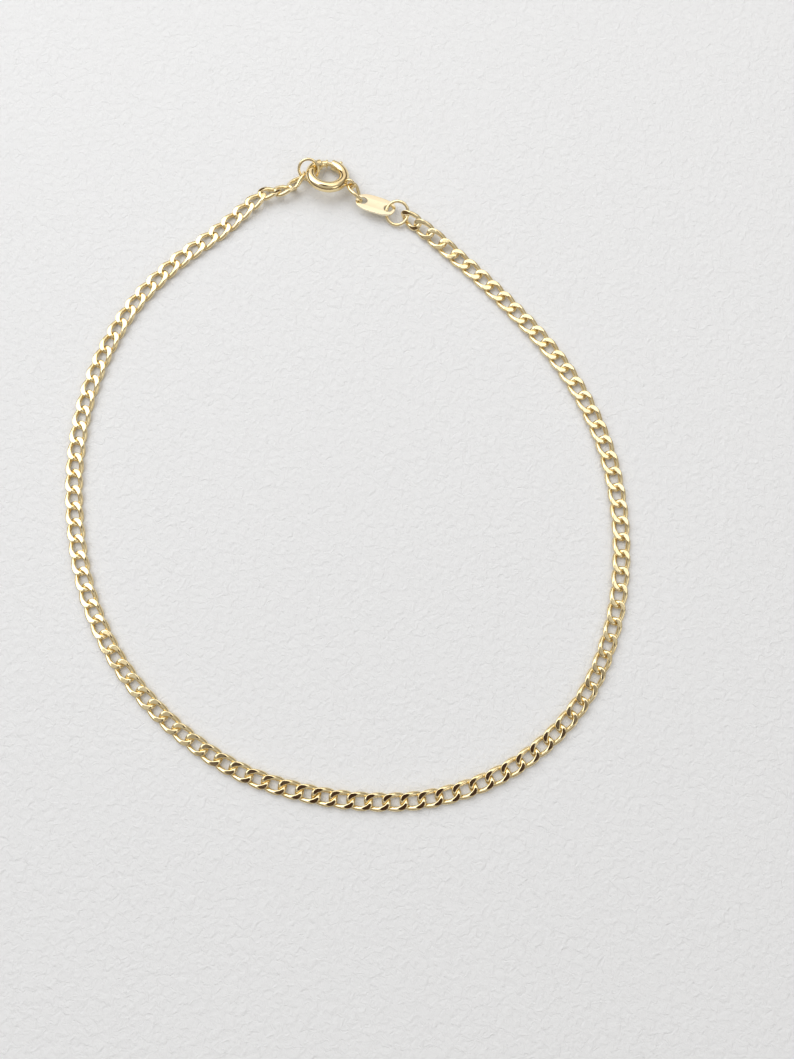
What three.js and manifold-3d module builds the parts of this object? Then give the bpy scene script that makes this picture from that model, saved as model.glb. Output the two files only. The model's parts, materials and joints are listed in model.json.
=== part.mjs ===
// Chain anklet lying on a flat surface: an open curb chain in a whole loop, closed by a spring ring clasp.
// Millimetres, +Z up. The surface is z = 0 and the origin is the middle of the loop's outline on it.

import * as THREE from 'three';
import { mergeVertices } from 'three/addons/utils/BufferGeometryUtils.js';
import Module from 'manifold-3d';

const wasm = await Module();
wasm.setup();

// Curb links: long loops of round wire, twisted from end to end, then pressed flat above and below.
// A link's end is a straight tip and two corner lengths; neighbours are soldered tip to tip by the lap.
const chain = {
  wire: 0.57,
  linkLength: 3.26,
  linkWidth: 2.3,
  tipShare: 0.5,
  twistDeg: 45,
  pressedHeight: 0.96,
  solderLap: 0.08,
};
const linkWireSides = 5;

// Links next to the fastening are rolled on their side, a little less each, until the chain lies flat
const rollAtJumpRing = { links: 4, deg: 55 };
const rollAtEndRing = { links: 5, deg: -45 };

// Route of the link centres over the surface, clockwise round the loop from the jump ring's side. Its end,
// the last link, follows from the pieces that hang between the first link and it.
const chainRoute = [
  [8.63, 34.48],
  [10.9, 32.7],
  [16.9, 27.4],
  [22.4, 21.7],
  [27.5, 15.6],
  [31.7, 8.7],
  [34.5, 1.2],
  [35.7, -6.7],
  [35.5, -14.7],
  [33.9, -22.4],
  [30.6, -29.7],
  [25.3, -35.7],
  [18.6, -40.0],
  [11.0, -42.4],
  [3.0, -42.8],
  [-5.0, -41.7],
  [-12.6, -39.3],
  [-19.4, -35.2],
  [-25.3, -29.9],
  [-30.1, -23.5],
  [-33.4, -16.2],
  [-35.2, -8.4],
  [-35.8, -0.4],
  [-35.1, 7.6],
  [-32.9, 15.2],
  [-29.2, 22.3],
  [-23.9, 28.3],
  [-17.7, 33.3],
  [-14.1, 36.6],
  [-11.7, 38.5],
];
const lastStopsFromLastLink = [
  [-2.73, -1.53],
  [-1.03, -1.14],
];

// Clasp: a ring of hollow tube with a mouth, closed by a sliding bolt; angles run round the ring
const clasp = {
  outerDiameter: 6.05,
  tube: 1.4,
  bore: 0.9,
  mouthDeg: 74,
  collarDeg: 88,
  neckDeg: 95,
  neckEndDeg: 112,
  neck: 0.9,
  collar: 1.15,
};
const bolt = {
  diameter: 0.6,
  tipInSocketDeg: 3,
  lengthDeg: 96,
  travelDeg: 30,
  springRoomDeg: 50,
};
const nub = { atDeg: 55, stem: 0.34, head: 0.5, reach: 0.3 };
const runningClearance = 0.07;

// Eye soldered to the outer side of the clasp, across its plane, sunk a little into the tube
const eye = { wire: 0.42, meanDiameter: 1.2, atDeg: -24.2, sunk: 0.035 };

// Rings, link and tag of the fastening
const endRing = { wire: 0.4, meanDiameter: 2.72 };
const jumpRing = { wire: 0.42, meanDiameter: 3.1 };
const tagLink = { wire: 0.42, length: 3.13, width: 1.98, roundness: 2.5, twistDeg: 45 };
const tag = { length: 5.7, width: 2.9, thickness: 0.28, hole: 1.2, holeInset: 1.0, roundness: 2.6 };

// Play left between two pieces that hang in each other
const play = 0.04;

// How each piece lies: the turn of its long axis from +X, the rise of that axis, and the roll about it
const lie = {
  jumpRing: { turnDeg: -3.7, riseDeg: 10.2, rollDeg: 21.1 },
  tag: { turnDeg: -20.3, riseDeg: 1.8, rollDeg: -14.8 },
  tagLink: { turnDeg: 121.6, riseDeg: 13.9, rollDeg: 51.9 },
  clasp: { turnDeg: 0, riseDeg: -8.35, rollDeg: -19.1 },
  endRing: { turnDeg: 8.3, riseDeg: 8.0, rollDeg: 39.9 },
};

// Where each piece hangs from the one before: the bearing from +X, the rise, and the slack it lies with
const hang = {
  jumpRing: { bearingDeg: 152.4, riseDeg: -2.7, slack: 0.231 },
  tag: { bearingDeg: 153.1, riseDeg: -0.9, slack: 0.546 },
  tagLink: { bearingDeg: 131.7, riseDeg: 7.2, slack: 0.228 },
  clasp: { bearingDeg: 128.5, riseDeg: 19.1, slack: 0.142 },
  endRing: { bearingDeg: 164.1, riseDeg: 4.9, slack: 0.083 },
  lastLink: { bearingDeg: -144.1, riseDeg: -19.2, slack: 0.094 },
};

const gold = new THREE.MeshStandardMaterial({ color: 0xe6cb82, roughness: 0.16, metalness: 1.0 });
const paleGold = new THREE.MeshStandardMaterial({ color: 0xf0dda4, roughness: 0.12, metalness: 1.0 });

const rad = THREE.MathUtils.degToRad;

// A closed geometry becomes a solid once only its positions are left and shared corners are merged
function solidOf(geometry) {
  const bare = geometry.clone();
  bare.deleteAttribute('normal');
  bare.deleteAttribute('uv');
  const merged = mergeVertices(bare, 1e-5);
  return new wasm.Manifold(new wasm.Mesh({
    numProp: 3,
    vertProperties: new Float32Array(merged.attributes.position.array),
    triVerts: new Uint32Array(merged.index.array),
  }));
}

function geometryOf(solid) {
  const mesh = solid.getMesh();
  const geometry = new THREE.BufferGeometry();
  geometry.setAttribute('position', new THREE.BufferAttribute(new Float32Array(mesh.vertProperties), 3));
  geometry.setIndex(new THREE.BufferAttribute(new Uint32Array(mesh.triVerts), 1));
  geometry.computeVertexNormals();
  return geometry;
}

// Point of an oval that is rounder-cornered than an ellipse, at an angle round it
function ovalPoint(halfLength, halfWidth, roundness, angle) {
  const across = Math.cos(angle);
  const along = Math.sin(angle);
  return new THREE.Vector2(
    halfLength * Math.sign(across) * Math.abs(across) ** (2 / roundness),
    halfWidth * Math.sign(along) * Math.abs(along) ** (2 / roundness),
  );
}

// Corners of a regular polygon with the area of a round wire, so a few sides keep the wire's weight
function wireCornerRadius(wire, sides) {
  return (wire / 2) * Math.sqrt((2 * Math.PI) / (sides * Math.sin((2 * Math.PI) / sides)));
}

// Closed wire loop: a torus whose rings are moved onto the given centre line, with a flat facing inwards
function wireLoop(centreLine, wire, wireSides) {
  const count = centreLine.length;
  const geometry = new THREE.TorusGeometry(1, 1, wireSides, count);
  const position = geometry.attributes.position;
  const radius = wireCornerRadius(wire, wireSides);
  const corner = new THREE.Vector3();
  for (let side = 0; side <= wireSides; side += 1) {
    const turn = (2 * Math.PI * (side % wireSides)) / wireSides;
    for (let step = 0; step <= count; step += 1) {
      const here = centreLine[step % count];
      const ahead = centreLine[(step + 1) % count];
      const behind = centreLine[(step + count - 1) % count];
      const forward = ahead.clone().sub(behind).normalize();
      const outward = here.clone().addScaledVector(forward, -here.dot(forward)).normalize();
      const upward = outward.clone().cross(forward);
      corner.copy(here);
      corner.addScaledVector(outward, radius * Math.cos(turn));
      corner.addScaledVector(upward, radius * Math.sin(turn));
      position.setXYZ(side * (count + 1) + step, corner.x, corner.y, corner.z);
    }
  }
  return geometry;
}

// Twists a flat loop about +X: its far end gets the -Y side raised and its near end the +Y side
function twisted(loop, length, twistDeg) {
  return loop.map((flat) => {
    const turn = (-rad(twistDeg) * flat.x) / (length / 2);
    return new THREE.Vector3(flat.x, flat.y * Math.cos(turn), flat.y * Math.sin(turn));
  });
}

function ovalLoop(halfLength, halfWidth, roundness, sides) {
  const angles = Array.from({ length: sides }, (_, step) => (2 * Math.PI * (step + 0.5)) / sides);
  return angles.map((angle) => ovalPoint(halfLength, halfWidth, roundness, angle));
}

// Curb link along +X, at the wire's centre: tip, corner, side, side, corner, and the same again
function curbLoop() {
  const halfLength = (chain.linkLength - chain.wire) / 2;
  const halfWidth = (chain.linkWidth - chain.wire) / 2;
  const halfTip = chain.tipShare * halfWidth;
  const shoulder = halfLength - (halfWidth - halfTip);
  const quarter = [[halfLength, halfTip], [shoulder, halfWidth], [0, halfWidth]];
  const back = [[-shoulder, halfWidth], [-halfLength, halfTip]];
  const upper = [...quarter, ...back].map(([x, y]) => new THREE.Vector2(x, y));
  const lower = upper.map((point) => new THREE.Vector2(-point.x, -point.y));
  return [...upper, ...lower];
}

function curbLinkGeometry() {
  const centreLine = twisted(curbLoop(), chain.linkLength, chain.twistDeg);
  const geometry = wireLoop(centreLine, chain.wire, linkWireSides);
  const position = geometry.attributes.position;
  const half = chain.pressedHeight / 2;
  for (let corner = 0; corner < position.count; corner += 1) {
    position.setZ(corner, THREE.MathUtils.clamp(position.getZ(corner), -half, half));
  }
  return geometry;
}

// Roll of a link by its place from either end of the chain
function rollOfLink(index, count) {
  const fromStart = Math.max(0, 1 - index / rollAtJumpRing.links);
  const fromEnd = Math.max(0, 1 - (count - 1 - index) / rollAtEndRing.links);
  return rad(rollAtJumpRing.deg * fromStart + rollAtEndRing.deg * fromEnd);
}

// A link rolled about its length, and the height of its centre when its lowest point rests at z = 0
function rolledLink(roll) {
  const geometry = curbLinkGeometry().rotateX(roll);
  geometry.computeBoundingBox();
  return { geometry, height: -geometry.boundingBox.min.z };
}

// Links along the route. The chain is two soldered halves that hang in each other, so the second half
// is drawn up by the slack between them.
function placeLinks(lastLinkAt) {
  const end = lastLinkAt.clone().setZ(0);
  const stops = chainRoute.map(([x, y]) => new THREE.Vector3(x, y, 0));
  const lastStops = lastStopsFromLastLink.map(([x, y]) => new THREE.Vector3(x, y, 0).add(end));
  const route = new THREE.CatmullRomCurve3([...stops, ...lastStops, end]);
  route.arcLengthDivisions = 3000;
  const slack = chain.solderLap + play;
  const pitch = chain.linkLength - 2 * chain.wire + chain.solderLap;
  const count = Math.round((route.getLength() + slack) / pitch) + 1;
  const firstOfSecondHalf = Math.ceil(count / 2);
  const spacing = (route.getLength() + slack) / (count - 1);
  return Array.from({ length: count }, (_, index) => {
    const inSecondHalf = index >= firstOfSecondHalf;
    const along = index * spacing - (inSecondHalf ? slack : 0);
    const share = Math.min(along / route.getLength(), 1);
    const centre = route.getPointAt(share);
    const heading = route.getTangentAt(share);
    const { geometry, height } = rolledLink(rollOfLink(index, count));
    geometry.rotateZ(Math.atan2(heading.y, heading.x));
    geometry.translate(centre.x, centre.y, height);
    return { geometry, inSecondHalf };
  });
}

function solderedLinks(links) {
  return geometryOf(wasm.Manifold.union(links.map((link) => solidOf(link.geometry))));
}

// Arc round the middle of the clasp. In a section swept along it, +Y points to the middle.
class RingArc extends THREE.Curve {
  constructor(radius, fromDeg, toDeg) {
    super();
    this.radius = radius;
    this.from = rad(fromDeg);
    this.span = rad(toDeg - fromDeg);
  }

  getPoint(share, target = new THREE.Vector3()) {
    const angle = this.from + share * this.span;
    return target.set(this.radius * Math.cos(angle), this.radius * Math.sin(angle), 0);
  }
}

function roundSection(diameter, sides) {
  const angles = Array.from({ length: sides }, (_, side) => (2 * Math.PI * (side + 0.5)) / sides);
  const reach = diameter / 2;
  return new THREE.Shape(angles.map((angle) => new THREE.Vector2(reach * Math.cos(angle), reach * Math.sin(angle))));
}

const ringRadius = (clasp.outerDiameter - clasp.tube) / 2;
const tubeSides = 10;
const boltSides = 8;
const arcStepDeg = 12;
const eyeSides = 12;
const ringWireSides = 6;

function sweptSolid(section, fromDeg, toDeg) {
  const path = new RingArc(ringRadius, fromDeg, toDeg);
  const steps = Math.max(1, Math.round((toDeg - fromDeg) / arcStepDeg));
  return solidOf(new THREE.ExtrudeGeometry(section, { steps, bevelEnabled: false, extrudePath: path }));
}

const boltTipDeg = clasp.collarDeg + bolt.tipInSocketDeg;
const boltTailDeg = boltTipDeg - bolt.lengthDeg;
const lapDeg = 3;

// Slot for the nub's stem, through the outer side of the tube
function slotSolid() {
  const half = nub.stem / 2 + runningClearance;
  const halfDeg = THREE.MathUtils.radToDeg(half / ringRadius);
  const section = new THREE.Shape([
    new THREE.Vector2(-half, -clasp.tube),
    new THREE.Vector2(half, -clasp.tube),
    new THREE.Vector2(half, 0),
    new THREE.Vector2(-half, 0),
  ]);
  return sweptSolid(section, nub.atDeg - bolt.travelDeg - halfDeg, nub.atDeg + halfDeg);
}

// The eye's inner edge lies at the tube's outer side when it isn't sunk
const eyeFromMiddle = clasp.outerDiameter / 2 + (eye.meanDiameter - eye.wire) / 2 - eye.sunk;

// Small ring on edge, along the outer side of the tube
function eyeSolid() {
  const loop = ovalLoop(eye.meanDiameter / 2, eye.meanDiameter / 2, 2, eyeSides);
  const upright = loop.map((point) => new THREE.Vector3(point.x, point.y, 0));
  const geometry = wireLoop(upright, eye.wire, ringWireSides).rotateX(Math.PI / 2);
  return solidOf(geometry.translate(eyeFromMiddle, 0, 0).rotateZ(rad(eye.atDeg)));
}

// Hollow ring: the bore runs back from the mouth behind the bolt, and a socket in the collar takes its tip
function springRingGeometry() {
  const tube = roundSection(clasp.tube, tubeSides);
  const neck = roundSection(clasp.neck, tubeSides);
  const collar = roundSection(clasp.collar, tubeSides);
  const bore = roundSection(clasp.bore, tubeSides);
  const socket = roundSection(bolt.diameter + 2 * runningClearance, tubeSides);
  const metal = sweptSolid(tube, clasp.neckEndDeg, clasp.mouthDeg + 360)
    .add(sweptSolid(neck, clasp.neckDeg - lapDeg, clasp.neckEndDeg + lapDeg))
    .add(sweptSolid(collar, clasp.collarDeg, clasp.neckDeg))
    .add(eyeSolid());
  const hollow = sweptSolid(bore, boltTailDeg - bolt.travelDeg - bolt.springRoomDeg, clasp.mouthDeg + lapDeg)
    .add(sweptSolid(socket, clasp.collarDeg - lapDeg, boltTipDeg + lapDeg / 2))
    .add(slotSolid());
  return geometryOf(metal.subtract(hollow));
}

// Curved bolt with a stem through the slot and a round head outside it
function boltGeometry() {
  const rod = sweptSolid(roundSection(bolt.diameter, boltSides), boltTailDeg, boltTipDeg);
  const stemLength = clasp.tube / 2 + nub.reach;
  const stem = new THREE.CylinderGeometry(nub.stem / 2, nub.stem / 2, stemLength, boltSides);
  stem.translate(0, ringRadius + stemLength / 2, 0);
  const head = new THREE.SphereGeometry(nub.head / 2, boltSides, boltSides / 2);
  head.translate(0, ringRadius + stemLength, 0);
  const thumbNub = solidOf(stem).add(solidOf(head));
  return geometryOf(rod.add(thumbNub.rotate([0, 0, nub.atDeg - 90])));
}

const ringSides = 16;
const tagSides = 28;

// Single oval link along +X, flat or twisted from end to end
function ovalLinkGeometry({ wire, length, width, roundness, twistDeg = 0 }) {
  const loop = ovalLoop((length - wire) / 2, (width - wire) / 2, roundness, ringSides);
  return wireLoop(twisted(loop, length, twistDeg), wire, ringWireSides);
}

function roundRingGeometry({ wire, meanDiameter }) {
  const outerDiameter = meanDiameter + wire;
  return ovalLinkGeometry({ wire, length: outerDiameter, width: outerDiameter, roundness: 2 });
}

const tagHoleAt = tag.length / 2 - tag.holeInset;

function tagGeometry() {
  const outline = new THREE.Shape(ovalLoop(tag.length / 2, tag.width / 2, tag.roundness, tagSides));
  for (const side of [-1, 1]) {
    const hole = new THREE.Path();
    hole.absarc(side * tagHoleAt, 0, tag.hole / 2, 0, 2 * Math.PI, true);
    outline.holes.push(hole);
  }
  const plate = new THREE.ExtrudeGeometry(outline, { depth: tag.thickness, bevelEnabled: false, curveSegments: 12 });
  return plate.translate(0, 0, -tag.thickness / 2);
}

function turnOf({ turnDeg, riseDeg, rollDeg }) {
  return new THREE.Euler(rad(rollDeg), -rad(riseDeg), rad(turnDeg), 'ZYX');
}

// Offset of a given length in a direction given by its bearing from +X and its rise
function offset(length, bearingDeg, riseDeg) {
  const level = length * Math.cos(rad(riseDeg));
  const up = length * Math.sin(rad(riseDeg));
  return new THREE.Vector3(level * Math.cos(rad(bearingDeg)), level * Math.sin(rad(bearingDeg)), up);
}

// Middles of two pieces that hang in each other lie this far apart when both are pulled tight
function tightReach(one, other) {
  return one.half - one.wire / 2 + other.half - other.wire / 2;
}

function hungFrom(start, reach, { bearingDeg, riseDeg, slack }) {
  return start.clone().add(offset(reach - slack, bearingDeg, riseDeg));
}

// The same from the middle of a hole in the tag to the middle of a ring that hangs in it
function reachFromHole(ring) {
  return ring.half + (tag.hole - ring.wire) / 2;
}

const curbReach = { half: (chain.linkLength - chain.wire) / 2, wire: chain.wire };
const jumpReach = { half: jumpRing.meanDiameter / 2, wire: jumpRing.wire };
const tagLinkReach = { half: (tagLink.length - tagLink.wire) / 2, wire: tagLink.wire };
const eyeReach = { half: eye.meanDiameter / 2, wire: eye.wire };
const claspReach = { half: ringRadius, wire: clasp.tube };
const endReach = { half: endRing.meanDiameter / 2, wire: endRing.wire };

// From the first link of the chain through the fastening to the last link
const firstLinkAt = new THREE.Vector3(...chainRoute[0], rolledLink(rad(rollAtJumpRing.deg)).height);
const jumpRingAt = hungFrom(firstLinkAt, tightReach(curbReach, jumpReach), hang.jumpRing);
const tagAxis = new THREE.Vector3(tagHoleAt, 0, 0).applyEuler(turnOf(lie.tag));
const tagAt = hungFrom(jumpRingAt, reachFromHole(jumpReach), hang.tag).sub(tagAxis);
const tagLinkAt = hungFrom(tagAt.clone().sub(tagAxis), reachFromHole(tagLinkReach), hang.tagLink);
const eyeAxis = new THREE.Vector3(eyeFromMiddle, 0, 0).applyEuler(new THREE.Euler(0, 0, rad(eye.atDeg)));
const eyeAt = hungFrom(tagLinkAt, tightReach(tagLinkReach, eyeReach), hang.clasp);
const claspAt = eyeAt.clone().sub(eyeAxis.applyEuler(turnOf(lie.clasp)));
const endRingAt = hungFrom(claspAt, tightReach(claspReach, endReach), hang.endRing);
const lastLinkAt = hungFrom(endRingAt, tightReach(endReach, curbReach), hang.lastLink);
const links = placeLinks(lastLinkAt);

const anklet = new THREE.Group();

function addPiece(name, geometry, material, at, turn) {
  const mesh = new THREE.Mesh(geometry, material);
  mesh.name = name;
  if (at) mesh.position.copy(at);
  if (turn) mesh.rotation.copy(turnOf(turn));
  anklet.add(mesh);
}

addPiece('chain_right', solderedLinks(links.filter((link) => !link.inSecondHalf)), gold);
addPiece('chain_left', solderedLinks(links.filter((link) => link.inSecondHalf)), gold);
addPiece('jump_ring', roundRingGeometry(jumpRing), gold, jumpRingAt, lie.jumpRing);
addPiece('tag', tagGeometry(), paleGold, tagAt, lie.tag);
addPiece('tag_link', ovalLinkGeometry(tagLink), gold, tagLinkAt, lie.tagLink);
addPiece('spring_ring', springRingGeometry(), gold, claspAt, lie.clasp);
addPiece('bolt_trigger', boltGeometry(), gold, claspAt, lie.clasp);
addPiece('end_ring', roundRingGeometry(endRing), gold, endRingAt, lie.endRing);

// The origin goes to the middle of the whole outline, at the surface
const outline = new THREE.Box3().setFromObject(anklet, true);
const middle = outline.getCenter(new THREE.Vector3());
anklet.position.set(-middle.x, -middle.y, -outline.min.z);

export default anklet;
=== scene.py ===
"""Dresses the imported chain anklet: a gold curb chain in a loop, closed by a spring ring clasp.

The chain lies on a pale surface under soft studio light, seen from above. Sizes are in millimetres
and angles in degrees until a mesh is placed; the placed meshes are in metres, in the CAD frame.
"""

import json
import logging
import math
import random
from collections.abc import Iterable, Sequence
from dataclasses import dataclass, field
from enum import Enum

import bmesh
import bpy
from mathutils import Euler, Matrix, Vector

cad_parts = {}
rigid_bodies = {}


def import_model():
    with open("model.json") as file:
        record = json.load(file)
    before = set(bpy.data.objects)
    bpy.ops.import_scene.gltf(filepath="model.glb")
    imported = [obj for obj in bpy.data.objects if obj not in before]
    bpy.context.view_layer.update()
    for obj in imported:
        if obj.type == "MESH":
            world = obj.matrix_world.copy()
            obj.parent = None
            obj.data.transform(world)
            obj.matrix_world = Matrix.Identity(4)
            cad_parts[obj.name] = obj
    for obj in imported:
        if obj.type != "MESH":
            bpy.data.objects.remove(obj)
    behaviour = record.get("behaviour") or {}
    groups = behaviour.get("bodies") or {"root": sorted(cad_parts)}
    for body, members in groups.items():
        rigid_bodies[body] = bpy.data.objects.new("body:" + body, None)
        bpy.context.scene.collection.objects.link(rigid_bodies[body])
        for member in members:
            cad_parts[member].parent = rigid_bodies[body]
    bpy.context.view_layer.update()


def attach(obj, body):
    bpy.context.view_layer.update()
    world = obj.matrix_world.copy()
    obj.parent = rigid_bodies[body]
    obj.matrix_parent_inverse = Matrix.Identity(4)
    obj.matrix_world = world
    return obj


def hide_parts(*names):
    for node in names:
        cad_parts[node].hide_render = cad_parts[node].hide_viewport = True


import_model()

log = logging.getLogger("anklet")
MM = 0.001


class Body(Enum):
    """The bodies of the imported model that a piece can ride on."""

    ANKLET = "anklet"
    BOLT = "bolt"


class Slot(Enum):
    """The record's material slots."""

    GOLD = "gold"
    TAG_GOLD = "tag_gold"


# Node trees


class Signal:
    """A node's output socket that Python's arithmetic can be written on."""

    def __init__(self, desk: "NodeDesk", socket: bpy.types.NodeSocket) -> None:
        """Keeps the socket and the desk that its maths is added to."""
        self.desk = desk
        self.socket = socket

    def maths(self, operation: str, *values: "Signal | float") -> "Signal":
        """Adds a Math node.

        Args:
            operation: the Math node's operation.
            values: its inputs, in order.

        Returns:
            The node's result.
        """
        inputs = dict(enumerate(values))
        return self.desk.add("ShaderNodeMath", {"operation": operation}, inputs).out()

    def __add__(self, other: "Signal | float") -> "Signal":
        """This plus a value."""
        return self.maths("ADD", self, other)

    def __radd__(self, other: float) -> "Signal":
        """A value plus this."""
        return self.maths("ADD", other, self)

    def __sub__(self, other: "Signal | float") -> "Signal":
        """This less a value."""
        return self.maths("SUBTRACT", self, other)

    def __rsub__(self, other: float) -> "Signal":
        """A value less this."""
        return self.maths("SUBTRACT", other, self)

    def __mul__(self, other: "Signal | float") -> "Signal":
        """This times a value."""
        return self.maths("MULTIPLY", self, other)

    def __truediv__(self, other: "Signal | float") -> "Signal":
        """This divided by a value."""
        return self.maths("DIVIDE", self, other)

    def __rtruediv__(self, other: float) -> "Signal":
        """A value divided by this."""
        return self.maths("DIVIDE", other, self)

    def __pow__(self, other: "Signal | float") -> "Signal":
        """This to a power."""
        return self.maths("POWER", self, other)

    def __neg__(self) -> "Signal":
        """The negative of this."""
        return self.maths("MULTIPLY", self, -1.0)

    def __abs__(self) -> "Signal":
        """The size of this without its sign."""
        return self.maths("ABSOLUTE", self)

    def sign(self) -> "Signal":
        """Minus one, nought or one."""
        return self.maths("SIGN", self)

    def sine(self) -> "Signal":
        """The sine of an angle in radians."""
        return self.maths("SINE", self)

    def cosine(self) -> "Signal":
        """The cosine of an angle in radians."""
        return self.maths("COSINE", self)

    def at_least(self, low: "Signal | float") -> "Signal":
        """This, or the low limit where it is lower."""
        return self.maths("MAXIMUM", self, low)

    def at_most(self, high: "Signal | float") -> "Signal":
        """This, or the high limit where it is higher."""
        return self.maths("MINIMUM", self, high)

    def eased(self, low: float, high: float) -> "Signal":
        """Nought below low, one above high, and a smooth step between them."""
        settings = {"interpolation_type": "SMOOTHSTEP"}
        return self.desk.add("ShaderNodeMapRange", settings, {0: self, 1: low, 2: high}).out()


@dataclass(frozen=True)
class Placed:
    """A node that has been added, with its outputs at hand."""

    desk: "NodeDesk"
    node: bpy.types.Node

    def out(self, name: str | int = 0) -> Signal:
        """One of the node's outputs, by name or number."""
        return Signal(self.desk, self.node.outputs[name])


class NodeDesk:
    """Adds nodes to one tree and links them."""

    def __init__(self, tree: bpy.types.NodeTree) -> None:
        """Keeps the tree."""
        self.tree = tree

    def add(
        self,
        kind: str,
        settings: dict[str, object] | None = None,
        inputs: dict[str | int, object] | None = None,
    ) -> Placed:
        """Adds one node, sets it up, and fills its sockets.

        Args:
            kind: the node's type.
            settings: its properties; "stops" are a ramp's (position, colour) pairs.
            inputs: values or signals by socket name or number.

        Returns:
            The placed node.
        """
        node = self.tree.nodes.new(kind)
        for name, value in (settings or {}).items():
            if name == "stops":
                self._set_stops(node, value)
            else:
                setattr(node, name, value)
        for name, value in (inputs or {}).items():
            if isinstance(value, Signal):
                self.tree.links.new(value.socket, node.inputs[name])
            else:
                node.inputs[name].default_value = value
        return Placed(self, node)

    @staticmethod
    def _set_stops(node: bpy.types.Node, stops: Sequence[tuple[float, Sequence[float]]]) -> None:
        """Gives a colour ramp its stops."""
        elements = node.color_ramp.elements
        while len(elements) < len(stops):
            elements.new(0.5)
        for element, (position, colour) in zip(elements, stops):
            element.position = position
            element.color = colour

    def vector(self, x: Signal | float, y: Signal | float, z: Signal | float) -> Signal:
        """A vector from three numbers."""
        return self.add("ShaderNodeCombineXYZ", inputs={0: x, 1: y, 2: z}).out()

    def parts(self, vector: Signal) -> tuple[Signal, Signal, Signal]:
        """The three numbers of a vector."""
        split = self.add("ShaderNodeSeparateXYZ", inputs={0: vector})
        return split.out(0), split.out(1), split.out(2)

    def mixed(self, share: Signal, first: Sequence[float], second: Sequence[float]) -> Signal:
        """A colour between two colours."""
        colours = {"Factor": share, 6: (*first, 1.0), 7: (*second, 1.0)}
        return self.add("ShaderNodeMix", {"data_type": "RGBA"}, colours).out(2)


# Finishes


@dataclass(frozen=True)
class PolishedGold:
    """Yellow gold, polished bright, with handling marks too fine to see one by one.

    Args:
        name: the material's name.
        fresh: colour of clean metal.
        worn: colour where the polish is a little duller.
        polish: roughness of the brightest parts.
        dulling: how much rougher the dullest parts are.
        waviness: height of the slow unevenness of the surface, in millimetres.
        scratch: height of the fine marks, in millimetres.
    """

    name: str
    fresh: tuple[float, float, float]
    worn: tuple[float, float, float]
    polish: float
    dulling: float
    waviness: float
    scratch: float

    def material(self) -> bpy.types.Material:
        """Builds the material.

        Returns:
            The new material.
        """
        material = bpy.data.materials.new(self.name)
        material.use_nodes = True
        material.node_tree.nodes.clear()
        desk = NodeDesk(material.node_tree)
        place = desk.add("ShaderNodeTexCoord").out("Object")
        clouds = self._noise(desk, place, 260.0, 3.0)
        smears = self._noise(desk, place, 1100.0, 4.0)
        marks = self._marks(desk, place)
        dull = (clouds.eased(0.42, 0.7) * 0.55 + smears.eased(0.45, 0.75) * 0.45).at_most(1.0)
        height = (smears - 0.5) * (self.waviness * MM) + marks * (self.scratch * MM)
        bump = desk.add("ShaderNodeBump", inputs={"Height": height, "Strength": 0.6, "Distance": 1.0})
        shader = desk.add(
            "ShaderNodeBsdfPrincipled",
            inputs={
                "Base Color": desk.mixed(dull, self.fresh, self.worn),
                "Metallic": 1.0,
                "Roughness": self.polish + dull * self.dulling + marks * 0.05,
                "Normal": bump.out("Normal"),
            },
        )
        desk.add("ShaderNodeOutputMaterial", inputs={"Surface": shader.out()})
        return material

    @staticmethod
    def _noise(desk: NodeDesk, place: Signal, scale: float, detail: float) -> Signal:
        """A soft noise with features of about one over the scale, in metres."""
        inputs = {"Vector": place, "Scale": scale, "Detail": detail, "Roughness": 0.55}
        return desk.add("ShaderNodeTexNoise", inputs=inputs).out(0)

    def _marks(self, desk: NodeDesk, place: Signal) -> Signal:
        """Fine marks that cross each other in two directions, from nought to one."""
        total: Signal | None = None
        for turn in (35.0, 118.0):
            turned = desk.add(
                "ShaderNodeMapping",
                inputs={
                    "Vector": place,
                    "Rotation": (0.0, 0.0, math.radians(turn)),
                    "Scale": (700.0, 9000.0, 2500.0),
                },
            ).out()
            line = self._noise(desk, turned, 1.0, 2.0).eased(0.6, 0.72)
            total = line if total is None else total.at_least(line)
        return total


@dataclass(frozen=True)
class PaleFloor:
    """The plain pale surface that the anklet lies on."""

    colour: tuple[float, float, float] = (0.872, 0.880, 0.893)
    shade: tuple[float, float, float] = (0.852, 0.860, 0.872)
    grain: float = 0.19

    def material(self) -> bpy.types.Material:
        """Builds a matt, almost white material with a faint mottle and a fine, leathery grain."""
        material = bpy.data.materials.new("pale_surface")
        material.use_nodes = True
        material.node_tree.nodes.clear()
        desk = NodeDesk(material.node_tree)
        place = desk.add("ShaderNodeTexCoord").out("Object")
        mottle = desk.add("ShaderNodeTexNoise", inputs={"Vector": place, "Scale": 9.0}).out(0)
        creases = {"Vector": place, "Scale": 1150.0, "Detail": 3.0, "Roughness": 0.6, "Distortion": 0.8}
        grain = desk.add("ShaderNodeTexNoise", inputs=creases).out(0)
        bump = desk.add(
            "ShaderNodeBump", inputs={"Height": grain * (self.grain * MM), "Strength": 1.0, "Distance": 1.0}
        )
        shader = desk.add(
            "ShaderNodeBsdfPrincipled",
            inputs={
                "Base Color": desk.mixed(mottle, self.colour, self.shade),
                "Roughness": 0.6,
                "Specular IOR Level": 0.15,
                "Normal": bump.out("Normal"),
            },
        )
        desk.add("ShaderNodeOutputMaterial", inputs={"Surface": shader.out()})
        return material


# Places


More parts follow.
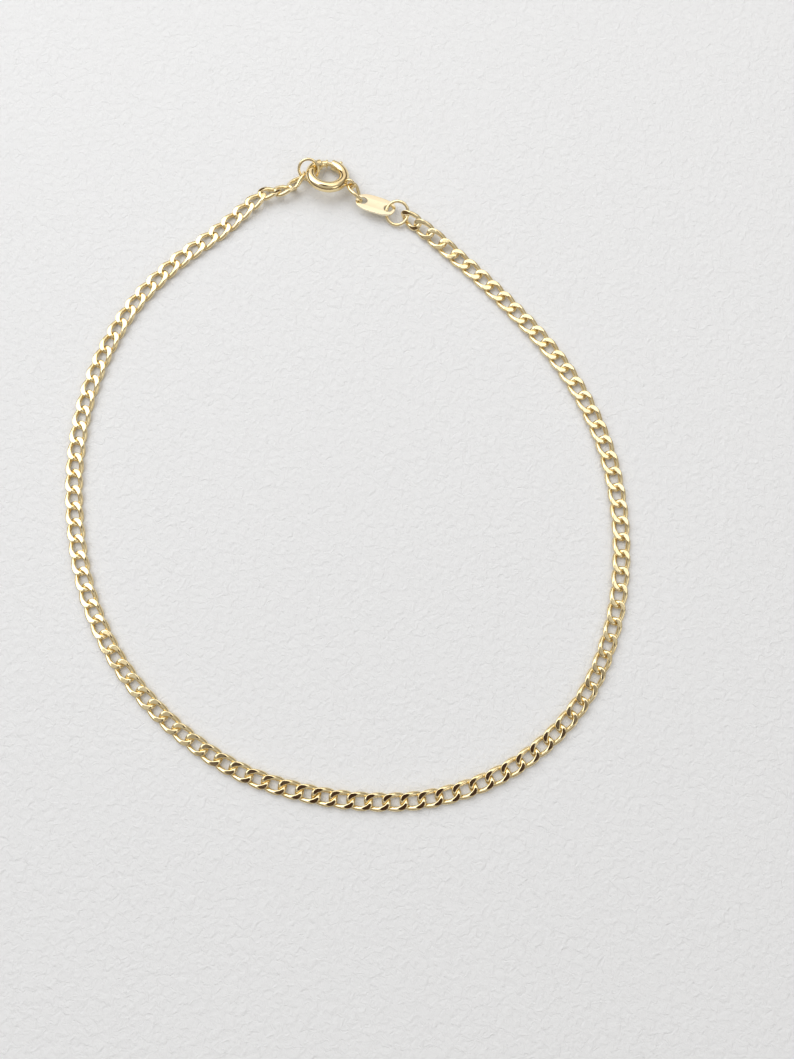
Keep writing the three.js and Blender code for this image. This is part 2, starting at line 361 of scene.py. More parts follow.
@dataclass(frozen=True)
class Lie:
    """Where a piece lies: its middle in millimetres, and its turn, rise and roll in degrees."""

    x: float
    y: float
    z: float
    turn: float = 0.0
    rise: float = 0.0
    roll: float = 0.0

    def matrix(self) -> Matrix:
        """The piece's place, from its own millimetres to the frame's metres."""
        turned = Euler((math.radians(self.roll), -math.radians(self.rise), math.radians(self.turn)))
        moved = Matrix.Translation(Vector((self.x, self.y, self.z)) * MM)
        return moved @ turned.to_matrix().to_4x4() @ Matrix.Scale(MM, 4)


@dataclass
class Route:
    """A smooth line through chosen stops on the surface, measured along its length.

    Args:
        stops: points in millimetres.
        steps: how many short lengths each stretch between two stops is measured with.
    """

    stops: Sequence[tuple[float, float]]
    steps: int = 80
    points: list[Vector] = field(init=False)
    lengths: list[float] = field(init=False)

    def __post_init__(self) -> None:
        """Walks the line once and keeps its points and the length up to each."""
        known = [Vector(stop) for stop in self.stops]
        ends = [2 * known[0] - known[1], *known, 2 * known[-1] - known[-2]]
        self.points = []
        for first, second, third, fourth in zip(ends, ends[1:], ends[2:], ends[3:]):
            for step in range(self.steps):
                self.points.append(self._between(first, second, third, fourth, step / self.steps))
        self.points.append(known[-1])
        self.lengths = [0.0]
        for behind, ahead in zip(self.points, self.points[1:]):
            self.lengths.append(self.lengths[-1] + (ahead - behind).length)

    @staticmethod
    def _between(first: Vector, second: Vector, third: Vector, fourth: Vector, share: float) -> Vector:
        """A point between the two middle stops of four, with each stretch timed by its root."""
        knots = [0.0]
        for behind, ahead in ((first, second), (second, third), (third, fourth)):
            knots.append(knots[-1] + (ahead - behind).length ** 0.5)
        middle = knots[2] - knots[1]
        leave = ((second - first) / (knots[1] - knots[0]) - (third - first) / (knots[2] - knots[0])
                 + (third - second) / middle) * middle
        arrive = ((third - second) / middle - (fourth - second) / (knots[3] - knots[1])
                  + (fourth - third) / (knots[3] - knots[2])) * middle
        squared, cubed = share**2, share**3
        return (
            (2 * cubed - 3 * squared + 1) * second
            + (cubed - 2 * squared + share) * leave
            + (3 * squared - 2 * cubed) * third
            + (cubed - squared) * arrive
        )

    @property
    def length(self) -> float:
        """The whole length, in millimetres."""
        return self.lengths[-1]

    def at(self, along: float) -> tuple[Vector, float]:
        """Finds a place on the line.

        Args:
            along: length from the start, in millimetres.

        Returns:
            The point there and the heading in radians.
        """
        target = min(max(along, 0.0), self.length)
        index = 0
        while index < len(self.lengths) - 2 and self.lengths[index + 1] < target:
            index += 1
        behind, ahead = self.points[index], self.points[index + 1]
        share = (target - self.lengths[index]) / (self.lengths[index + 1] - self.lengths[index])
        run = ahead - behind
        return behind + run * share, math.atan2(run.y, run.x)


# Making meshes


def keep_mesh(obj: bpy.types.Object, name: str) -> bpy.types.Object:
    """Turns an object with live modifiers into a plain mesh piece.

    Args:
        obj: the object; it is removed.
        name: the new piece's name.

    Returns:
        The new object, at the origin, unturned and unscaled.
    """
    graph = bpy.context.evaluated_depsgraph_get()
    mesh = bpy.data.meshes.new_from_object(obj.evaluated_get(graph), depsgraph=graph)
    mesh.transform(obj.matrix_world)
    bpy.data.objects.remove(obj)
    mesh.name = name
    piece = bpy.data.objects.new(name, mesh)
    bpy.context.scene.collection.objects.link(piece)
    return piece


def object_from(shape: bmesh.types.BMesh, name: str) -> bpy.types.Object:
    """Puts a bmesh into a new object in the scene and frees it."""
    mesh = bpy.data.meshes.new(name)
    shape.to_mesh(mesh)
    shape.free()
    made = bpy.data.objects.new(name, mesh)
    bpy.context.scene.collection.objects.link(made)
    return made


def finish_piece(
    piece: bpy.types.Object,
    material: bpy.types.Material,
    body: Body,
    nodes: Iterable[str],
) -> None:
    """Gives a piece its finish, its body and the CAD nodes that it stands for."""
    piece.data.materials.clear()
    piece.data.materials.append(material)
    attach(piece, body.value)
    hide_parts(*nodes)
    low, high = piece.bound_box[0], piece.bound_box[6]
    size = [round((b - a) / MM, 2) for a, b in zip(low, high)]
    log.info("%s: %d faces, %s mm", piece.name, len(piece.data.polygons), size)


@dataclass(frozen=True)
class WireLoop:
    """A closed loop of round wire: a ring, an oval link, or a curb link twisted from end to end.

    Args:
        length: outside length, in millimetres.
        width: outside width, in millimetres.
        wire: wire thickness, in millimetres.
        roundness: 2 for an ellipse, more for fuller corners.
        twist: how far each end is twisted, in degrees.
        pressed: height that the loop is pressed flat to, in millimetres.
        segments: lengths round the loop.
        sides: sides of the wire.
        seam: how deep the closed joint is pinched, as a share of the wire.
    """

    length: float
    width: float
    wire: float
    roundness: float = 2.0
    twist: float = 0.0
    pressed: float = 10.0
    segments: int = 96
    sides: int = 18
    seam: float = 0.0

    def centre_line(self) -> list[Vector]:
        """The wire's centre line, in millimetres."""
        points = []
        half_length, half_width = (self.length - self.wire) / 2, (self.width - self.wire) / 2
        for index in range(self.segments):
            angle = 2 * math.pi * (index + 0.5) / self.segments
            x = half_length * math.copysign(abs(math.cos(angle)) ** (2 / self.roundness), math.cos(angle))
            y = half_width * math.copysign(abs(math.sin(angle)) ** (2 / self.roundness), math.sin(angle))
            turn = -math.radians(self.twist) * x / (self.length / 2)
            points.append(Vector((x, y * math.cos(turn), y * math.sin(turn))))
        return points

    def resting_height(self, roll: float) -> float:
        """Height of the loop's middle when it rests by its lowest point.

        Args:
            roll: roll about its length, in radians.

        Returns:
            The height in millimetres.
        """
        lowest = 0.0
        for point in self.centre_line():
            z = max(min(point.z, self.pressed / 2 - self.wire / 2), self.wire / 2 - self.pressed / 2)
            lowest = min(lowest, point.y * math.sin(roll) + z * math.cos(roll) - self.wire / 2)
        return -lowest


class LoopTree:
    """Geometry Nodes that set a wire loop on every point of a mesh, turned by the point's own values.

    Each point carries turn, rise and roll in radians. The sizes are the tree's named inputs.
    """

    SIZES = {
        "Length": "NodeSocketFloat",
        "Width": "NodeSocketFloat",
        "Wire": "NodeSocketFloat",
        "Roundness": "NodeSocketFloat",
        "Twist": "NodeSocketFloat",
        "Pressed height": "NodeSocketFloat",
        "Seam": "NodeSocketFloat",
        "Segments": "NodeSocketInt",
        "Sides": "NodeSocketInt",
        "Finish": "NodeSocketMaterial",
    }

    def __init__(self) -> None:
        """Builds the tree once."""
        self.tree = bpy.data.node_groups.new("wire_loops_on_points", "GeometryNodeTree")
        face = self.tree.interface
        self.ids: dict[str, str] = {}
        face.new_socket("Points", in_out="INPUT", socket_type="NodeSocketGeometry")
        for name, kind in self.SIZES.items():
            self.ids[name] = face.new_socket(name, in_out="INPUT", socket_type=kind).identifier
        face.new_socket("Loops", in_out="OUTPUT", socket_type="NodeSocketGeometry")
        self.desk = NodeDesk(self.tree)
        self._build()

    def _build(self) -> None:
        """Lays the nodes out: one loop, then a copy on each point, then real geometry."""
        desk = self.desk
        given = desk.add("NodeGroupInput")
        loop = self._loop(given)
        turns = [
            desk.add("GeometryNodeInputNamedAttribute", {"data_type": "FLOAT"}, {"Name": name}).out()
            for name in ("roll", "rise", "turn")
        ]
        roll, rise, turn = turns
        euler = desk.vector(roll, -rise, turn)
        rotation = desk.add("FunctionNodeEulerToRotation", inputs={0: euler}).out()
        copies = desk.add(
            "GeometryNodeInstanceOnPoints",
            inputs={"Points": given.out("Points"), "Instance": loop, "Rotation": rotation},
        ).out()
        real = desk.add("GeometryNodeRealizeInstances", inputs={"Geometry": copies}).out()
        dressed = desk.add(
            "GeometryNodeSetMaterial", inputs={"Geometry": real, "Material": given.out("Finish")}
        ).out()
        desk.add("NodeGroupOutput", inputs={"Loops": dressed})

    def _loop(self, given: Placed) -> Signal:
        """One loop about the origin, along X, in metres."""
        desk = self.desk
        length, width, wire = given.out("Length"), given.out("Width"), given.out("Wire")
        index = desk.add("GeometryNodeInputIndex").out()
        angle = (index + 0.5) * (2 * math.pi) / given.out("Segments")
        power = 2.0 / given.out("Roundness")
        across, along = angle.cosine(), angle.sine()
        x = (length - wire) * 0.5 * across.sign() * abs(across) ** power
        y = (width - wire) * 0.5 * along.sign() * abs(along) ** power
        turn = -given.out("Twist") * x / (length * 0.5)
        circle = desk.add(
            "GeometryNodeCurvePrimitiveCircle", inputs={"Resolution": given.out("Segments")}
        ).out()
        place = desk.vector(x, y * turn.cosine(), y * turn.sine())
        line = desk.add("GeometryNodeSetPosition", inputs={"Geometry": circle, "Position": place}).out()
        at_seam = index.maths("LESS_THAN", index, 0.5)
        thickness = 1.0 - at_seam * given.out("Seam")
        section = desk.add(
            "GeometryNodeCurvePrimitiveCircle",
            inputs={"Resolution": given.out("Sides"), "Radius": wire * 0.5},
        ).out()
        swept = {"Curve": line, "Profile Curve": section}
        tube = desk.add("GeometryNodeCurveToMesh", inputs={**swept, "Scale": thickness}).out()
        flat_x, flat_y, flat_z = desk.parts(desk.add("GeometryNodeInputPosition").out())
        half = given.out("Pressed height") * 0.5
        pressed = desk.vector(flat_x, flat_y, flat_z.at_most(half).at_least(-half))
        return desk.add("GeometryNodeSetPosition", inputs={"Geometry": tube, "Position": pressed}).out()

    def grow(
        self,
        name: str,
        loop: WireLoop,
        lies: Sequence[Lie],
        material: bpy.types.Material,
    ) -> bpy.types.Object:
        """Makes one piece of wire loops.

        Args:
            name: the piece's name.
            loop: the loop's sizes.
            lies: one place for each loop.
            material: the finish.

        Returns:
            The finished mesh object, smooth.
        """
        mesh = bpy.data.meshes.new(name + "_points")
        mesh.from_pydata([(lie.x * MM, lie.y * MM, lie.z * MM) for lie in lies], [], [])
        for kind in ("turn", "rise", "roll"):
            values = [math.radians(getattr(lie, kind)) for lie in lies]
            mesh.attributes.new(kind, "FLOAT", "POINT").data.foreach_set("value", values)
        points = bpy.data.objects.new(name + "_points", mesh)
        bpy.context.scene.collection.objects.link(points)
        modifier = points.modifiers.new("loops", "NODES")
        modifier.node_group = self.tree
        sizes = {
            "Length": loop.length * MM,
            "Width": loop.width * MM,
            "Wire": loop.wire * MM,
            "Roundness": loop.roundness,
            "Twist": math.radians(loop.twist),
            "Pressed height": loop.pressed * MM,
            "Seam": loop.seam,
            "Segments": loop.segments,
            "Sides": loop.sides,
            "Finish": material,
        }
        for size, value in sizes.items():
            modifier[self.ids[size]] = value
        piece = keep_mesh(points, name)
        piece.data.shade_smooth()
        return piece


# The anklet's parts


@dataclass
class CurbChain:
    """The whole chain: open curb links, twisted and lightly pressed, in a loop on the surface.

    The links nearest the fastening are rolled on their side, a little less each.
    """

    link: WireLoop = WireLoop(
        length=3.36, width=2.33, wire=0.625, roundness=2.8, twist=45.0, pressed=0.8, segments=38, sides=16
    )
    pitch_span: float = 2.2
    slack: float = 0.12
    roll_at_jump_ring: tuple[int, float] = (4, 55.0)
    roll_at_end_ring: tuple[int, float] = (5, -45.0)
    sway: float = 2.0
    shift: tuple[float, float] = (0.009, 0.1782)
    stops: tuple[tuple[float, float], ...] = (
        (8.63, 34.48), (10.9, 32.7), (16.9, 27.4), (22.4, 21.7), (27.5, 15.6), (31.7, 8.7),
        (34.5, 1.2), (35.7, -6.7), (35.5, -14.7), (33.9, -22.4), (30.6, -29.7), (25.3, -35.7),
        (18.6, -40.0), (11.0, -42.4), (3.0, -42.8), (-5.0, -41.7), (-12.6, -39.3), (-19.4, -35.2),
        (-25.3, -29.9), (-30.1, -23.5), (-33.4, -16.2), (-35.2, -8.4), (-35.8, -0.4), (-35.1, 7.6),
        (-32.9, 15.2), (-29.2, 22.3), (-23.9, 28.3), (-17.7, 33.3), (-14.1, 36.6), (-11.7, 38.5),
        (-9.89, 38.91), (-8.19, 39.3), (-7.16, 40.44),
    )

    def lies(self) -> tuple[list[Lie], list[Lie]]:
        """Places every link.

        Returns:
            The links of the half by the jump ring, and those of the half by the clasp.
        """
        route = Route(self.stops)
        count = round((route.length + self.slack) / self.pitch_span) + 1
        spacing = (route.length + self.slack) / (count - 1)
        chance = random.Random(11)
        halves: tuple[list[Lie], list[Lie]] = ([], [])
        for index in range(count):
            second = index >= math.ceil(count / 2)
            centre, heading = route.at(index * spacing - (self.slack if second else 0.0))
            start = max(0.0, 1 - index / self.roll_at_jump_ring[0])
            end = max(0.0, 1 - (count - 1 - index) / self.roll_at_end_ring[0])
            roll = self.roll_at_jump_ring[1] * start + self.roll_at_end_ring[1] * end
            if not start and not end:
                roll += chance.uniform(-self.sway, self.sway)
            height = self.link.resting_height(math.radians(roll))
            x, y = centre.x + self.shift[0], centre.y + self.shift[1]
            halves[second].append(Lie(x, y, height, math.degrees(heading), 0.0, roll))
        return halves

    def build(self, tree: LoopTree, gold: bpy.types.Material) -> None:
        """Makes the two halves of the chain."""
        for half, node in zip(self.lies(), ("chain_right", "chain_left")):
            piece = tree.grow(node + "_links", self.link, half, gold)
            finish_piece(piece, gold, Body.ANKLET, [node])


@dataclass
class Fastening:
    """The rings and the link between the chain, the tag and the clasp."""

    jump_ring: WireLoop = WireLoop(length=3.52, width=3.52, wire=0.42, seam=0.06)
    jump_ring_lie: Lie = Lie(6.719, 35.6619, 1.0416, -3.7, 10.2, 21.1)
    tag_link: WireLoop = WireLoop(length=3.18, width=2.03, wire=0.48, roundness=2.5, twist=45.0, segments=64)
    tag_link_lie: Lie = Lie(1.0063, 38.6993, 1.0936, 121.6, 13.9, 51.9)
    end_ring: WireLoop = WireLoop(length=3.12, width=3.12, wire=0.4, seam=0.06)
    end_ring_lie: Lie = Lie(-5.5184, 41.7763, 1.7793, 8.3, 8.0, 39.9)

    def build(self, tree: LoopTree, gold: bpy.types.Material) -> None:
        """Makes the three pieces."""
        for node in ("jump_ring", "tag_link", "end_ring"):
            loop, lie = getattr(self, node), getattr(self, node + "_lie")
            piece = tree.grow(node + "_wire", loop, [lie], gold)
            finish_piece(piece, gold, Body.ANKLET, [node])


@dataclass
class OvalTag:
    """The plain oval tag: a flat plate with softened edges and a hole near each end."""

    length: float = 5.7
    width: float = 2.9
    thickness: float = 0.28
    edge: float = 0.07
    hole: float = 1.2
    hole_inset: float = 1.0
    roundness: float = 2.6
    outline_points: int = 160
    hole_points: int = 56
    edge_steps: int = 4
    lie: Lie = Lie(3.7417, 36.9341, 0.9616, -20.3, 1.8, -14.8)

    def outline(self, sides: int) -> list[tuple[float, float]]:
        """The tag's outline, anticlockwise, in millimetres."""
        points = []
        for side in range(sides):
            angle = 2 * math.pi * (side + 0.5) / sides
            across, along = math.cos(angle), math.sin(angle)
            x = math.copysign(abs(across) ** (2 / self.roundness), across) * self.length / 2
            y = math.copysign(abs(along) ** (2 / self.roundness), along) * self.width / 2
            points.append((x, y))
        return points

    def hole_line(self, side: int, sides: int) -> list[tuple[float, float]]:
        """One hole's edge, in millimetres."""
        middle = side * (self.length / 2 - self.hole_inset)
        angles = [2 * math.pi * step / sides for step in range(sides)]
        return [(middle + self.hole / 2 * math.cos(a), self.hole / 2 * math.sin(a)) for a in angles]

    def build(self, material: bpy.types.Material) -> None:
        """Makes the plate from its filled outline, with rounded edges."""
        drawing = bpy.data.curves.new("tag_outline", "CURVE")
        drawing.dimensions = "2D"
        drawing.fill_mode = "BOTH"
        drawing.extrude = self.thickness / 2 - self.edge
        drawing.bevel_depth = self.edge
        drawing.bevel_resolution = self.edge_steps
        drawing.offset = -self.edge
        holes = [self.hole_line(side, self.hole_points) for side in (-1, 1)]
        for line in (self.outline(self.outline_points), *holes):
            spline = drawing.splines.new("POLY")
            spline.points.add(len(line) - 1)
            spline.use_cyclic_u = True
            for point, (x, y) in zip(spline.points, line):
                point.co = (x, y, 0.0, 1.0)
        plate = bpy.data.objects.new("tag_drawing", drawing)
        bpy.context.scene.collection.objects.link(plate)
        piece = keep_mesh(plate, "tag_plate")
        piece.data.transform(self.lie.matrix())
        smooth_by_area(piece, sharp=35.0)
        finish_piece(piece, material, Body.ANKLET, ["tag"])


def skin(shape: bmesh.types.BMesh, rings: Sequence[Sequence[bmesh.types.BMVert]]) -> None:
    """Joins each ring of points to the next with four-sided faces."""
    for behind, ahead in zip(rings, rings[1:]):
        for side in range(len(behind)):
            after = (side + 1) % len(behind)
            shape.faces.new((behind[side], behind[after], ahead[after], ahead[side]))


def smooth_by_area(piece: bpy.types.Object, sharp: float, merged_within: float = 2e-7) -> None:
    """Keeps edges sharper than an angle, and lets large faces set the shading.

    Faces with more than four sides are split before doubles are merged, so that no stray face is left.

    Args:
        piece: the mesh object.
        sharp: the angle in degrees.
        merged_within: distance in metres within which points are one point.
    """
    shape = bmesh.new()
    shape.from_mesh(piece.data)
    bmesh.ops.triangulate(shape, faces=[face for face in shape.faces if len(face.verts) > 4])
    bmesh.ops.remove_doubles(shape, verts=shape.verts, dist=merged_within)
    bmesh.ops.recalc_face_normals(shape, faces=shape.faces)
    shape.to_mesh(piece.data)
    shape.free()
    piece.data.shade_smooth()
    piece.data.set_sharp_from_angle(angle=math.radians(sharp))
    weighted = piece.modifiers.new("weighted", "WEIGHTED_NORMAL")
    weighted.keep_sharp = True
    weighted.weight = 80
    graph = bpy.context.evaluated_depsgraph_get()
    mesh = bpy.data.meshes.new_from_object(piece.evaluated_get(graph), depsgraph=graph)
    piece.modifiers.clear()
    piece.data = mesh


@dataclass
class SpringRing:
    """The clasp: a ring of hollow tube with a mouth, and the sliding bolt that closes it.

    Thicknesses and distances are in millimetres. Places round the ring are angles in degrees, which grow
    from the mouth to the collar, the neck and the neck's end. Cutters run a little past what they cut.
    """

    outer: float = 6.05
    tube: float = 1.4
    bore: float = 0.9
    mouth: float = 74.0
    collar: float = 88.0
    neck: float = 95.0
    neck_end: float = 112.0
    neck_thickness: float = 0.9
    collar_thickness: float = 1.15
    shoulder_from: float = 1.5
    shoulder_to: float = 0.4
    shoulder_swell: float = 0.03
    rod: float = 0.6
    rod_tail: float = -5.0
    rod_tip: float = 91.0
    travel: float = 30.0
    spring_room: float = 50.0
    past_mouth: float = 4.0
    past_collar: float = 3.0
    past_tip: float = 1.5
    nub_at: float = 55.0
    nub_root: float = 0.1
    nub_stem: float = 0.34
    nub_head: float = 0.5
    nub_reach: float = 0.3
    slot_floor: float = 0.05
    clearance: float = 0.07
    softening: float = 0.14
    rod_softening: float = 0.12
    eye_wire: float = 0.42
    eye_across: float = 1.2
    eye_at: float = -24.2
    eye_out: float = 3.38
    tube_sides: int = 36
    bore_sides: int = 28
    rod_sides: int = 24
    lie: Lie = Lie(-2.9292, 41.0387, 1.5485, 0.0, -8.35, -19.1)

    @property
    def radius(self) -> float:
        """Radius of the tube's centre line."""
        return (self.outer - self.tube) / 2

    def swept(self, profile: Sequence[tuple[float, float]], sides: int, name: str) -> bpy.types.Object:
        """Sweeps a round section of changing radius round the ring.

        Args:
            profile: pairs of angle in degrees and section radius in millimetres.
            sides: sides of the section.
            name: the object's name.

        Returns:
            A closed solid, in the ring's own millimetres.
        """
        shape = bmesh.new()
        rings = []
        for angle, reach in self._fine(profile):
            turn = math.radians(angle)
            ring = []
            for side in range(sides):
                round_it = 2 * math.pi * side / sides
                out = self.radius + reach * math.cos(round_it)
                point = (out * math.cos(turn), out * math.sin(turn), reach * math.sin(round_it))
                ring.append(shape.verts.new(point))
            rings.append(ring)
        skin(shape, rings)
        shape.faces.new(rings[0])
        shape.faces.new(rings[-1])
        bmesh.ops.recalc_face_normals(shape, faces=shape.faces)
        return object_from(shape, name)

    @staticmethod
    def _fine(profile: Sequence[tuple[float, float]], step: float = 3.0) -> list[tuple[float, float]]:
        """Adds sections so that no two are more than a few degrees apart."""
        fine = [profile[0]]
        for (start, here), (end, there) in zip(profile, profile[1:]):
            count = max(1, math.ceil((end - start) / step))
            for index in range(1, count + 1):
                share = index / count
                fine.append((start + (end - start) * share, here + (there - here) * share))
        return fine

    def rounded(self, start: float, end: float, reach: float, edge: float) -> list[tuple[float, float]]:
        """A profile of one thickness whose two ends are rounded over.

        Args:
            start: angle where it begins.
            end: angle where it ends.
            reach: section radius.
            edge: radius of the rounding, in millimetres.

        Returns:
            The profile's pairs.
        """
        steps = 4
        turns = [math.radians(step * 90 / steps) for step in range(steps + 1)]
        per_mm = math.degrees(1 / self.radius)
        curve = [(edge * (1 - math.sin(t)) * per_mm, reach - edge * (1 - math.cos(t))) for t in turns]
        first = [(start + inset, thickness) for inset, thickness in reversed(curve)]
        last = [(end - inset, thickness) for inset, thickness in curve]
        return first + last

    def slot_cutter(self, arc_steps: int = 12, run_steps: int = 10) -> bpy.types.Object:
        """A round-ended cutter for the slot that the nub's stem slides in."""
        half = self.nub_stem / 2 + self.clearance
        per_mm = math.degrees(1 / (self.radius + self.tube / 2))
        low, high = self.nub_at - self.travel, self.nub_at
        outline = []
        for middle, far, facing, edge in ((low, high, 90, -half), (high, low, -90, half)):
            for step in range(arc_steps + 1):
                turn = math.radians(facing + step * 180 / arc_steps)
                outline.append((middle + half * math.cos(turn) * per_mm, half * math.sin(turn)))
            outline += [(middle + (far - middle) * k / run_steps, edge) for k in range(1, run_steps)]
        shape = bmesh.new()
        layers = []
        for out in (self.radius + self.slot_floor, self.radius + self.tube):
            layers.append([
                shape.verts.new((out * math.cos(math.radians(a)), out * math.sin(math.radians(a)), z))
                for a, z in outline
            ])
        skin(shape, layers)
        shape.faces.new(layers[0])
        shape.faces.new(layers[1])
        bmesh.ops.recalc_face_normals(shape, faces=shape.faces)
        bmesh.ops.triangulate(shape, faces=[f for f in shape.faces if len(f.verts) > 4])
        return object_from(shape, "slot_cutter")

    def eye(self, steps: int = 40, sides: int = 20) -> bpy.types.Object:
        """A small round ring on edge, sunk a little into the outer side of the tube."""
        shape = bmesh.new()
        rings = []
        for step in range(steps):
            around = 2 * math.pi * step / steps
            ring = []
            for side in range(sides):
                turn = 2 * math.pi * side / sides
                out = self.eye_across / 2 + self.eye_wire / 2 * math.cos(turn)
                point = (self.eye_out + out * math.cos(around), self.eye_wire / 2 * math.sin(turn))
                ring.append(shape.verts.new((*point, out * math.sin(around))))
            rings.append(ring)
        skin(shape, rings + rings[:1])
        bmesh.ops.recalc_face_normals(shape, faces=shape.faces)
        turned = Matrix.Rotation(math.radians(self.eye_at), 4, "Z")
        bmesh.ops.transform(shape, matrix=turned, verts=shape.verts)
        return object_from(shape, "eye")

    def nub(self) -> bpy.types.Object:
        """The thumb nub: a stem that starts inside the bolt, with a round head."""
        top = self.tube / 2 + self.nub_reach
        stem, head = self.nub_stem / 2, self.nub_head / 2
        under_head = 0.42 * self.nub_head
        profile = [(stem, self.nub_root), (stem, top - under_head)]
        head_from, head_step = -50, 17.5
        for step in range(8):
            turn = math.radians(head_from + step * head_step)
            profile.append((head * math.cos(turn), top + head * math.sin(turn)))
        shape = bmesh.new()
        angles = [2 * math.pi * side / self.rod_sides for side in range(self.rod_sides)]
        rings = []
        for reach, height in profile:
            points = [(height, reach * math.cos(a), reach * math.sin(a)) for a in angles]
            rings.append([shape.verts.new(point) for point in points])
        skin(shape, rings)
        shape.faces.new(rings[0])
        crown = shape.verts.new((top + head, 0.0, 0.0))
        for side in range(self.rod_sides):
            shape.faces.new((rings[-1][side], rings[-1][(side + 1) % self.rod_sides], crown))
        bmesh.ops.recalc_face_normals(shape, faces=shape.faces)
        turned = Matrix.Rotation(math.radians(self.nub_at), 4, "Z")
        moved = Matrix.Translation((self.radius, 0, 0))
        bmesh.ops.transform(shape, matrix=turned @ moved, verts=shape.verts)
        return object_from(shape, "nub")

    @staticmethod
    def joined(
        base: bpy.types.Object,
        others: Sequence[tuple[bpy.types.Object, str]],
        name: str,
    ) -> bpy.types.Object:
        """Cuts or joins solids one after another.

        Args:
            base: the solid to work on.
            others: pairs of a solid and the operation done with it.
            name: the result's name.

        Returns:
            The result; the other solids are removed.
        """
        for other, operation in others:
            step = base.modifiers.new(operation.lower(), "BOOLEAN")
            step.operation = operation
            step.solver = "EXACT"
            step.object = other
        piece = keep_mesh(base, name)
        for other, _ in others:
            bpy.data.objects.remove(other)
        return piece

    def build_ring(self, gold: bpy.types.Material) -> None:
        """Makes the hollow ring with its mouth, neck, collar and slot."""
        slim = self.neck_thickness / 2
        collar = self.rounded(self.collar, self.neck, self.collar_thickness / 2, self.softening)
        neck = [(self.neck, slim), (self.neck_end - self.shoulder_from, slim)]
        shoulder = [(self.neck_end - self.shoulder_to, slim + self.shoulder_swell)]
        tube = self.rounded(self.neck_end, self.mouth + 360, self.tube / 2, self.softening)
        body = self.swept([*collar, *neck, *shoulder, *tube], self.tube_sides, "ring_body")
        back = self.rod_tail - self.travel - self.spring_room
        hollow = [(back, self.bore / 2), (self.mouth + self.past_mouth, self.bore / 2)]
        bore = self.swept(hollow, self.bore_sides, "bore")
        room = self.rod / 2 + self.clearance
        tip_room = [(self.collar - self.past_collar, room), (self.rod_tip + self.past_tip, room)]
        socket = self.swept(tip_room, self.bore_sides, "socket")
        cuts = [(cutter, "DIFFERENCE") for cutter in (bore, socket, self.slot_cutter())]
        piece = self.joined(body, [(self.eye(), "UNION"), *cuts], "spring_ring_tube")
        piece.data.transform(self.lie.matrix())
        smooth_by_area(piece, sharp=38.0)
        finish_piece(piece, gold, Body.ANKLET, ["spring_ring"])

    def build_bolt(self, gold: bpy.types.Material) -> None:
        """Makes the curved bolt with its thumb nub."""
        length = self.rounded(self.rod_tail, self.rod_tip, self.rod / 2, self.rod_softening)
        rod = self.swept(length, self.rod_sides, "rod")
        piece = self.joined(rod, [(self.nub(), "UNION")], "bolt_with_nub")
        piece.data.transform(self.lie.matrix())
        smooth_by_area(piece, sharp=40.0)
        finish_piece(piece, gold, Body.BOLT, ["bolt_trigger"])


# The studio


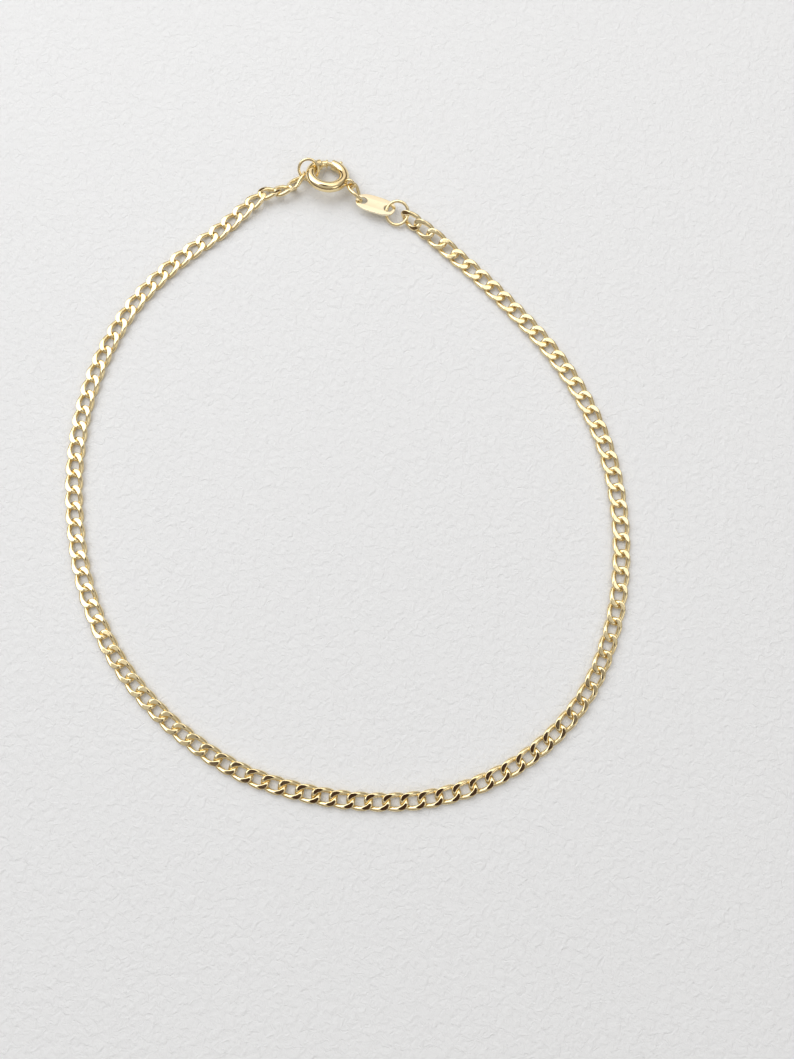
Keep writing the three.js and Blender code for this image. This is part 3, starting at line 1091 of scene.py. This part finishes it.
@dataclass
class Studio:
    """A pale floor, soft lights and the camera above it."""

    camera_at: tuple[float, float, float] = (7.744, -28.675, 115.676)
    tilt: float = 9.94
    swing: float = 2.75
    focal_px: float = 900.0
    picture: tuple[int, int] = (794, 1059)
    floor_size: float = 3.0
    room_strength: float = 0.67

    def build(self) -> None:
        """Makes everything that isn't the anklet."""
        self._floor()
        self._camera()
        self._lights()
        self._surroundings()

    def _floor(self) -> None:
        """A plain floor at the height that the anklet rests on."""
        shape = bmesh.new()
        bmesh.ops.create_grid(shape, x_segments=2, y_segments=2, size=self.floor_size / 2)
        floor = object_from(shape, "pale_floor")
        floor.data.materials.append(PaleFloor().material())

    def _camera(self) -> None:
        """The camera, a little in front of the middle and tilted, from the picture's perspective."""
        data = bpy.data.cameras.new("camera")
        data.sensor_width = 36.0
        data.lens = data.sensor_width * self.focal_px / max(self.picture)
        data.clip_start = 0.01
        camera = bpy.data.objects.new("camera", data)
        bpy.context.scene.collection.objects.link(camera)
        tilt, swing = math.radians(self.tilt), math.radians(self.swing)
        # The floor's upward direction as the camera sees it: x right, y down, z away
        up = -Vector((math.sin(tilt) * math.sin(swing), math.sin(tilt) * math.cos(swing), math.cos(tilt)))
        ahead = Vector((0.0, -1.0, 0.0))
        ahead = (ahead - up * ahead.dot(up)).normalized()
        side = ahead.cross(up)
        right, down, away = (Vector((side[k], ahead[k], up[k])) for k in range(3))
        turned = Matrix((right, -down, -away)).transposed().to_4x4()
        camera.matrix_world = Matrix.Translation(Vector(self.camera_at) * MM) @ turned
        bpy.context.scene.camera = camera

    def _light(self, name: str, at: Vector, aim: Vector, size: tuple[float, float], power: float,
               colour: tuple[float, float, float] = (1.0, 1.0, 1.0)) -> None:
        """One soft box."""
        data = bpy.data.lights.new(name, "AREA")
        data.shape = "RECTANGLE"
        data.size, data.size_y = size
        data.energy = power
        data.color = colour
        lamp = bpy.data.objects.new(name, data)
        lamp.location = at
        lamp.rotation_euler = (aim - at).to_track_quat("-Z", "Y").to_euler()
        bpy.context.scene.collection.objects.link(lamp)

    def _lights(self) -> None:
        """A large soft box up to the left, one above and behind, a fill to the right, a warm card behind."""
        middle, clasp = Vector((0.0, 0.0, 0.0)), Vector((0.0, 0.04, 0.0))
        cool, warm = (0.965, 0.985, 1.0), (1.0, 0.95, 0.88)
        self._light("key", Vector((-0.34, 0.26, 0.46)), middle, (0.6, 0.6), 2.2, cool)
        self._light("behind", Vector((0.16, 0.27, 0.56)), middle, (0.5, 0.36), 0.6)
        self._light("fill", Vector((0.42, -0.30, 0.30)), middle, (0.3, 0.2), 0.22)
        self._light("back_card", Vector((0.03, 0.50, 0.30)), clasp, (0.6, 0.34), 0.46, warm)

    def _surroundings(self) -> None:
        """A dim warm room round the lights, darker low down and overhead, where the camera is."""
        world = bpy.data.worlds.new("room")
        bpy.context.scene.world = world
        world.use_nodes = True
        world.node_tree.nodes.clear()
        desk = NodeDesk(world.node_tree)
        place = desk.add("ShaderNodeTexCoord").out("Generated")
        height = desk.parts(place)[2]
        upward, forward = 0.99, 0.12
        overhead = height * upward - desk.parts(place)[1] * forward
        hidden = overhead.eased(0.955, 0.985)
        behind_camera = (0.075, 0.04, 0.028, 1.0)
        tones = [
            (0.0, (0.10, 0.06, 0.03, 1.0)),
            (0.28, (0.30, 0.235, 0.17, 1.0)),
            (0.5, (0.64, 0.615, 0.585, 1.0)),
            (1.0, (0.90, 0.89, 0.88, 1.0)),
        ]
        ramp = desk.add("ShaderNodeValToRGB", {"stops": tones}, {0: height}).out()
        colours = {"Factor": hidden, 6: ramp, 7: behind_camera}
        colour = desk.add("ShaderNodeMix", {"data_type": "RGBA"}, colours).out(2)
        light = desk.add("ShaderNodeBackground", inputs={"Color": colour, "Strength": self.room_strength})
        desk.add("ShaderNodeOutputWorld", inputs={"Surface": light.out()})
        bpy.context.scene.view_settings.view_transform = "Standard"


def main() -> None:
    """Builds the anklet and its studio."""
    logging.basicConfig(level=logging.INFO, format="%(name)s: %(message)s")
    gold = PolishedGold(
        name="yellow_gold",
        fresh=(0.935, 0.785, 0.475),
        worn=(0.89, 0.705, 0.375),
        polish=0.08,
        dulling=0.10,
        waviness=0.003,
        scratch=0.0006,
    )
    tag_gold = PolishedGold(
        name="tag_gold",
        fresh=(0.97, 0.87, 0.64),
        worn=(0.95, 0.83, 0.57),
        polish=0.09,
        dulling=0.05,
        waviness=0.0015,
        scratch=0.0006,
    )
    gold_metal = gold.material()
    tree = LoopTree()
    CurbChain().build(tree, gold_metal)
    Fastening().build(tree, gold_metal)
    OvalTag().build(tag_gold.material())
    clasp = SpringRing()
    clasp.build_ring(gold_metal)
    clasp.build_bolt(gold_metal)
    Studio().build()


if __name__ == "__main__":
    main()
